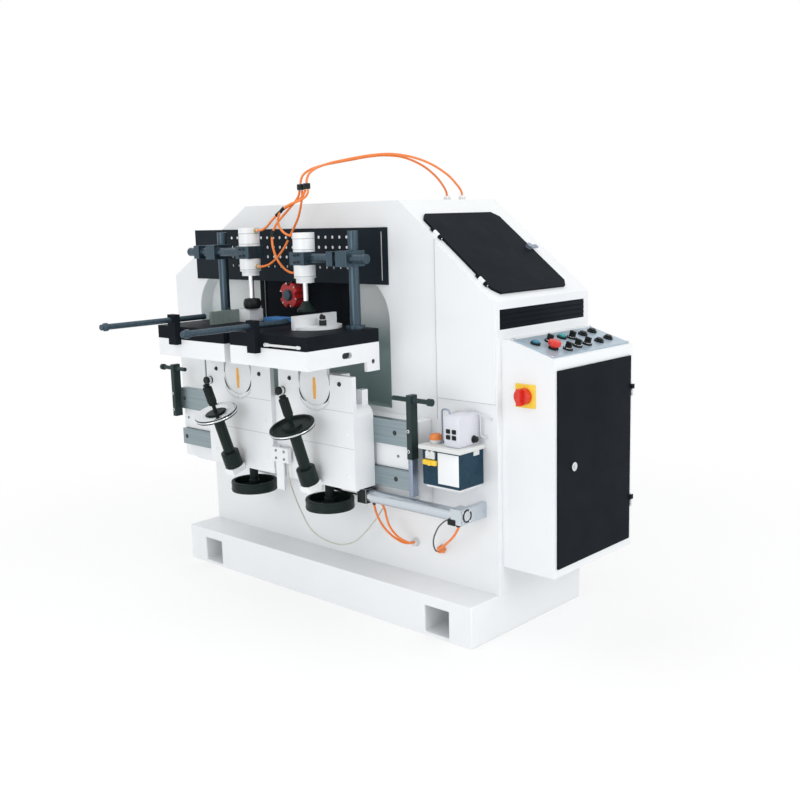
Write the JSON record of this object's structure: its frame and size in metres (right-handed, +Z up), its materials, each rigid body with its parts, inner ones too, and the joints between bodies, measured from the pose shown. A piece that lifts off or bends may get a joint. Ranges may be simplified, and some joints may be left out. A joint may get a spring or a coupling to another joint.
{
  "type": "tenoning machine",
  "caption": "Woodworking tenoning machine with twin tilting tables on a sliding carriage, air clamps, a spindle behind an arched guard, and a control cabinet.",
  "frame": {"origin": "middle of the plinth's underside, on the floor", "axes": "+X to the right along the machine's front, +Y to the back, +Z up"},
  "size_m": [1.8726, 1.194, 1.569],
  "materials": {
    "white_paint": "satin cool-white paint",
    "black_paint": "satin near-black paint",
    "machined_steel": "machined grey steel",
    "bright_steel": "bright ground steel",
    "aluminium": "drawn aluminium",
    "black_plastic": "black moulded plastic",
    "dark_aluminium": "dark coated aluminium",
    "red_paint": "red tool coating",
    "red_plastic": "red moulded plastic",
    "hose_orange": "orange air hose",
    "tank_navy": "dark navy tank",
    "pump_grey": "lilac-grey pump cover",
    "panel_silver": "pale blue-silver plate",
    "blue_plastic": "blue button",
    "teal_plastic": "teal button",
    "grey_green": "grey-green machined face"
  },
  "bodies": {
    "frame": {"plinth": "white_paint", "pedestal": "white_paint", "main_casing": "white_paint", "casing_wing": "white_paint", "cutter_recess": "white_paint", "guard_board": "black_paint", "slide_base": "white_paint", "slide_rails": "machined_steel", "end_stops": "black_paint", "feed_cylinder": "aluminium", "lubricator_tank": "tank_navy", "lubricator_pump": "pump_grey", "control_cabinet": "white_paint", "control_panel": "panel_silver", "guide_rods": "bright_steel", "lower_hoses": "hose_orange", "overhead_hoses": "hose_orange"},
    "carriage": {"saddle": "white_paint", "cylinder_rod": "bright_steel", "carriage_lines": "hose_orange"},
    "knee_left": {"knee_left": "white_paint"},
    "lift_wheel_left": {"lift_wheel_left": "black_plastic"},
    "tilt_wheel_left": {"tilt_wheel_left": "dark_aluminium"},
    "table_left": {"table_plate_left": "black_paint", "table_bracket_left": "white_paint", "clamp_stand_left": "machined_steel", "clamp_cylinder_left": "white_paint"},
    "clamp_ram_left": {"clamp_ram_left": "black_plastic"},
    "fence_left": {"fence_left": "grey_green"},
    "stop_rod_left": {"stop_rod_left": "black_paint"},
    "knee_right": {"knee_right": "white_paint"},
    "lift_wheel_right": {"lift_wheel_right": "black_plastic"},
    "tilt_wheel_right": {"tilt_wheel_right": "dark_aluminium"},
    "table_right": {"table_plate_right": "black_paint", "table_bracket_right": "white_paint", "clamp_stand_right": "machined_steel", "clamp_cylinder_right": "white_paint"},
    "clamp_ram_right": {"clamp_ram_right": "bright_steel"},
    "fence_right": {"fence_right": "white_paint"},
    "stop_rod_right": {"stop_rod_right": "black_paint"},
    "hood_lid": {"hood_lid": "black_paint"},
    "lid_latch": {"lid_latch": "bright_steel"},
    "cabinet_door": {"cabinet_door": "black_paint"},
    "door_lock": {"door_lock": "bright_steel"},
    "switch_knob": {"switch_knob": "red_plastic"},
    "spindle_head": {"spindle_head": "machined_steel", "dust_panel": "black_paint"},
    "cutter_head": {"cutter_head": "red_paint"},
    "push_1": {"push_1": "blue_plastic"},
    "push_2": {"push_2": "teal_plastic"},
    "push_3": {"push_3": "black_plastic"},
    "push_4": {"push_4": "black_plastic"},
    "push_5": {"push_5": "black_plastic"},
    "push_6": {"push_6": "black_plastic"},
    "mushroom": {"mushroom": "red_plastic"},
    "selector_1": {"selector_1": "black_plastic"},
    "selector_2": {"selector_2": "black_plastic"},
    "selector_3": {"selector_3": "black_plastic"},
    "selector_4": {"selector_4": "black_plastic"},
    "selector_5": {"selector_5": "black_plastic"}
  },
  "joints": [
    {"name": "carriage_slide", "type": "slide", "parent": "frame", "child": "carriage", "axis": [1, 0, 0], "range_m": [-0.24, 0.09], "deforming": ["carriage_lines", "overhead_hoses"]},
    {"name": "lift_left", "type": "slide", "parent": "carriage", "child": "knee_left", "axis": [0, 0, 1], "range_m": [-0.04, 0.06], "deforming": ["carriage_lines"]},
    {"name": "lift_wheel_turn_left", "type": "hinge", "parent": "carriage", "child": "lift_wheel_left", "pos_m": [-0.31, -0.303, 0.373], "axis": [0, 0, 1], "range_deg": [-1440, 2160]},
    {"name": "table_tilt_left", "type": "hinge", "parent": "knee_left", "child": "table_left", "pos_m": [-0.31, -0.347, 0.8], "axis": [0, 1, 0], "range_deg": [-10, 10], "deforming": ["carriage_lines"]},
    {"name": "tilt_wheel_turn_left", "type": "hinge", "parent": "knee_left", "child": "tilt_wheel_left", "pos_m": [-0.31, -0.392, 0.462], "axis": [0, -0.3173, 0.9483], "range_deg": [-360, 360]},
    {"name": "clamp_press_left", "type": "slide", "parent": "table_left", "child": "clamp_ram_left", "axis": [0, 0, 1], "range_m": [0, 0.06]},
    {"name": "fence_swivel_left", "type": "hinge", "parent": "table_left", "child": "fence_left", "pos_m": [-0.318, -0.332, 0.986], "axis": [0, 0, 1], "range_deg": [-10, 45]},
    {"name": "stop_rod_slide_left", "type": "slide", "parent": "table_left", "child": "stop_rod_left", "axis": [0, 1, 0], "range_m": [-0.1, 0.1]},
    {"name": "lift_right", "type": "slide", "parent": "carriage", "child": "knee_right", "axis": [0, 0, 1], "range_m": [-0.04, 0.06], "deforming": ["carriage_lines"]},
    {"name": "lift_wheel_turn_right", "type": "hinge", "parent": "carriage", "child": "lift_wheel_right", "pos_m": [0.102, -0.303, 0.373], "axis": [0, 0, 1], "range_deg": [-1440, 2160]},
    {"name": "table_tilt_right", "type": "hinge", "parent": "knee_right", "child": "table_right", "pos_m": [0.102, -0.347, 0.8], "axis": [0, 1, 0], "range_deg": [-10, 10], "deforming": ["carriage_lines"]},
    {"name": "tilt_wheel_turn_right", "type": "hinge", "parent": "knee_right", "child": "tilt_wheel_right", "pos_m": [0.102, -0.392, 0.462], "axis": [0, -0.3173, 0.9483], "range_deg": [-360, 360]},
    {"name": "clamp_press_right", "type": "slide", "parent": "table_right", "child": "clamp_ram_right", "axis": [0, 0, 1], "range_m": [-0.035, 0.06]},
    {"name": "fence_swivel_right", "type": "hinge", "parent": "table_right", "child": "fence_right", "pos_m": [0.092, -0.332, 0.986], "axis": [0, 0, 1], "range_deg": [-10, 45]},
    {"name": "stop_rod_slide_right", "type": "slide", "parent": "table_right", "child": "stop_rod_right", "axis": [0, 1, 0], "range_m": [-0.1, 0.1]},
    {"name": "lid_open", "type": "hinge", "parent": "frame", "child": "hood_lid", "pos_m": [0.56399, -0.152, 1.2302], "axis": [0.7832, 0, -0.6218], "range_deg": [0, 100]},
    {"name": "latch_turn", "type": "hinge", "parent": "hood_lid", "child": "lid_latch", "pos_m": [0.56542, 0.234, 1.23201], "axis": [0.6218, 0, 0.7832], "range_deg": [-90, 90]},
    {"name": "door_open", "type": "hinge", "parent": "frame", "child": "cabinet_door", "pos_m": [0.943, 0.289, 0.572], "axis": [0, 0, 1], "range_deg": [0, 120]},
    {"name": "lock_turn", "type": "hinge", "parent": "cabinet_door", "child": "door_lock", "pos_m": [0.941, -0.06, 0.577], "axis": [1, 0, 0], "range_deg": [-90, 90]},
    {"name": "switch_turn", "type": "hinge", "parent": "frame", "child": "switch_knob", "pos_m": [0.832, -0.156, 0.799], "axis": [0, -1, 0], "range_deg": [-90, 0]},
    {"name": "head_cross", "type": "slide", "parent": "frame", "child": "spindle_head", "axis": [1, 0, 0], "range_m": [-0.045, 0.045]},
    {"name": "cutter_spin", "type": "hinge", "parent": "spindle_head", "child": "cutter_head", "pos_m": [-0.212, -0.158, 1.075], "axis": [0, 1, 0], "continuous": true},
    {"name": "press_1", "type": "slide", "parent": "frame", "child": "push_1", "axis": [-0.2847, 0, -0.9586], "range_m": [0, 0.004], "stiffness_N_per_m": 600, "springref_m": -0.002},
    {"name": "press_2", "type": "slide", "parent": "frame", "child": "push_2", "axis": [-0.2847, 0, -0.9586], "range_m": [0, 0.004], "stiffness_N_per_m": 600, "springref_m": -0.002},
    {"name": "press_3", "type": "slide", "parent": "frame", "child": "push_3", "axis": [-0.2847, 0, -0.9586], "range_m": [0, 0.004], "stiffness_N_per_m": 600, "springref_m": -0.002},
    {"name": "press_4", "type": "slide", "parent": "frame", "child": "push_4", "axis": [-0.2847, 0, -0.9586], "range_m": [0, 0.004], "stiffness_N_per_m": 600, "springref_m": -0.002},
    {"name": "press_5", "type": "slide", "parent": "frame", "child": "push_5", "axis": [-0.2847, 0, -0.9586], "range_m": [0, 0.004], "stiffness_N_per_m": 600, "springref_m": -0.002},
    {"name": "press_6", "type": "slide", "parent": "frame", "child": "push_6", "axis": [-0.2847, 0, -0.9586], "range_m": [0, 0.004], "stiffness_N_per_m": 600, "springref_m": -0.002},
    {"name": "press_stop", "type": "slide", "parent": "frame", "child": "mushroom", "axis": [-0.2847, 0, -0.9586], "range_m": [0, 0.004], "stiffness_N_per_m": 600, "springref_m": -0.002},
    {"name": "select_1", "type": "hinge", "parent": "frame", "child": "selector_1", "pos_m": [0.83228, -0.024, 0.95794], "axis": [0.2847, 0, 0.9586], "range_deg": [-45, 45]},
    {"name": "select_2", "type": "hinge", "parent": "frame", "child": "selector_2", "pos_m": [0.83612, 0.094, 0.9568], "axis": [0.2847, 0, 0.9586], "range_deg": [-45, 45]},
    {"name": "select_3", "type": "hinge", "parent": "frame", "child": "selector_3", "pos_m": [0.89938, -0.022, 0.93801], "axis": [0.2847, 0, 0.9586], "range_deg": [-45, 45]},
    {"name": "select_4", "type": "hinge", "parent": "frame", "child": "selector_4", "pos_m": [0.89172, 0.042, 0.94029], "axis": [0.2847, 0, 0.9586], "range_deg": [-45, 45]},
    {"name": "select_5", "type": "hinge", "parent": "frame", "child": "selector_5", "pos_m": [0.89076, 0.098, 0.94057], "axis": [0.2847, 0, 0.9586], "range_deg": [-45, 45]}
  ],
  "couplings": [
    {"joint": "lift_wheel_turn_left", "follows": "lift_left", "rad_per_m": 628.32},
    {"joint": "tilt_wheel_turn_left", "follows": "table_tilt_left", "ratio": 36},
    {"joint": "lift_wheel_turn_right", "follows": "lift_right", "rad_per_m": 628.32},
    {"joint": "tilt_wheel_turn_right", "follows": "table_tilt_right", "ratio": 36}
  ]
}
